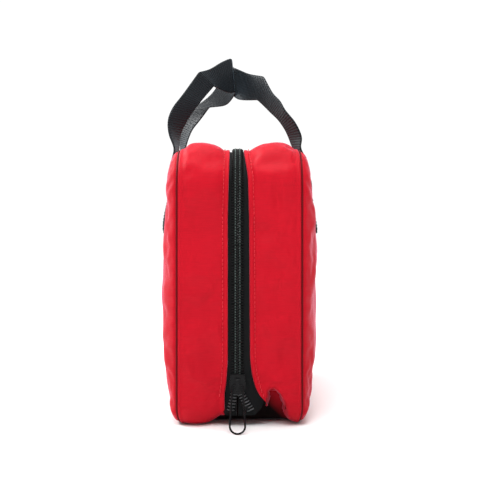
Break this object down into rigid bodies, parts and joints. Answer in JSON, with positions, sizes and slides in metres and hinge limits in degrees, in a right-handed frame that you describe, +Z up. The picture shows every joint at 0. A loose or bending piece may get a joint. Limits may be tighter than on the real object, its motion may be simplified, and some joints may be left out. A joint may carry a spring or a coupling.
{
  "type": "first aid kit",
  "caption": "Soft zipped first aid bag with stuffed front and rear panels, webbing carry handles, a hinged front and packed supplies inside.",
  "frame": {"origin": "middle of the flat base that the bag stands on", "axes": "+Z up; the front panel faces -Y; the zip ends at the foot of the +X end"},
  "size_m": [0.266, 0.138, 0.3108],
  "materials": {
    "red_nylon": "woven nylon, slight sheen",
    "dark_binding": "woven tape",
    "lining": "coated lining",
    "black_webbing": "ribbed polypropylene webbing",
    "stitch_thread": "thread",
    "zip_tape": "woven tape",
    "zip_coil": "nylon coil",
    "zip_metal": "black lacquer",
    "net": "mesh",
    "elastic": "ribbed elastic",
    "steel": "brushed",
    "bow_plastic": "moulded",
    "white_gauze": "gauze",
    "crepe": "crepe",
    "card_white": "coated card",
    "card_blue": "coated card",
    "paper_sachet": "paper and film sachets",
    "tape_white": "cloth tape",
    "spool_plastic": "moulded",
    "glove_film": "film pack",
    "bottle_plastic": "moulded",
    "cap_green": "moulded",
    "pouch_orange": "coated pouch",
    "cold_pack_film": "film",
    "blanket_film": "metallised film",
    "booklet_paper": "paper"
  },
  "bodies": {
    "rear_shell": {"front_panel_fold": "red_nylon", "rear_panel": "red_nylon", "base_gusset": "red_nylon", "rear_gusset": "red_nylon", "zip_bottom_stop": "zip_metal", "zip_tail_near": "zip_tape", "zip_tail_far": "zip_tape", "gauze_rolls": "white_gauze", "crepe_bandages": "crepe", "bandage_clips": "steel", "plaster_box": "card_blue", "dressing_packs": "paper_sachet", "tape_roll": "tape_white", "tape_spool": "spool_plastic", "wipes_box": "card_white", "gloves_pack": "glove_film", "saline_bottle": "bottle_plastic", "saline_cap": "cap_green", "triangular_bandages": "white_gauze", "pressure_dressing": "paper_sachet", "breathing_mask": "pouch_orange", "cold_pack": "cold_pack_film", "rescue_blanket": "blanket_film", "rear_seam_binding": "dark_binding", "rear_lining": "lining", "zip_tape_rear": "zip_tape", "zip_coil_rear": "zip_coil", "zip_end_stop_rear": "zip_metal", "rear_net_pocket": "net", "rear_pocket_elastic": "elastic", "rear_pocket_binding": "dark_binding", "rear_handle_tabs": "black_webbing", "rear_handle_stitching": "stitch_thread"},
    "front_shell": {"front_panel": "red_nylon", "front_gusset": "red_nylon", "front_seam_binding": "dark_binding", "front_lining": "lining", "zip_tape_front": "zip_tape", "zip_coil_front": "zip_coil", "zip_end_stop_front": "zip_metal", "front_net_pocket": "net", "front_pocket_elastic": "elastic", "front_pocket_binding": "dark_binding", "front_handle_tabs": "black_webbing", "front_handle_stitching": "stitch_thread", "tool_band": "elastic", "scissors_blade_fixed": "steel", "scissors_bow_fixed": "bow_plastic", "scissors_rivet": "steel", "tweezers": "steel", "guide_booklet": "booklet_paper"},
    "zip_slider": {"zip_slider": "zip_metal"},
    "zip_pull": {"zip_pull": "zip_metal"},
    "front_handle": {"front_handle": "black_webbing"},
    "rear_handle": {"rear_handle": "black_webbing"},
    "scissors_blade": {"scissors_blade_moving": "steel", "scissors_bow_moving": "bow_plastic"}
  },
  "joints": [
    {"name": "lid_hinge", "type": "hinge", "parent": "rear_shell", "child": "front_shell", "pos_m": [0, -0.067, 0.012], "axis": [1, 0, 0], "range_deg": [0, 93]},
    {"name": "zip_slide", "type": "slide", "parent": "rear_shell", "child": "zip_slider", "axis": [0, 0, 1], "range_m": [0, 0.138], "deforming": ["zip_coil_front", "zip_coil_rear"]},
    {"name": "pull_hinge", "type": "hinge", "parent": "zip_slider", "child": "zip_pull", "pos_m": [0.1236, -0.0015, 0.0315], "axis": [0, -1, 0], "range_deg": [-30, 140]},
    {"name": "front_handle_hinge", "type": "hinge", "parent": "front_shell", "child": "front_handle", "pos_m": [0, -0.0692, 0.1802], "axis": [1, 0, 0], "range_deg": [0, 165]},
    {"name": "rear_handle_hinge", "type": "hinge", "parent": "rear_shell", "child": "rear_handle", "pos_m": [0, 0.0692, 0.1802], "axis": [-1, 0, 0], "range_deg": [0, 165]},
    {"name": "scissors_hinge", "type": "hinge", "parent": "front_shell", "child": "scissors_blade", "pos_m": [-0.014, -0.0446, 0.128], "axis": [0, 1, 0], "range_deg": [0, 50]}
  ]
}
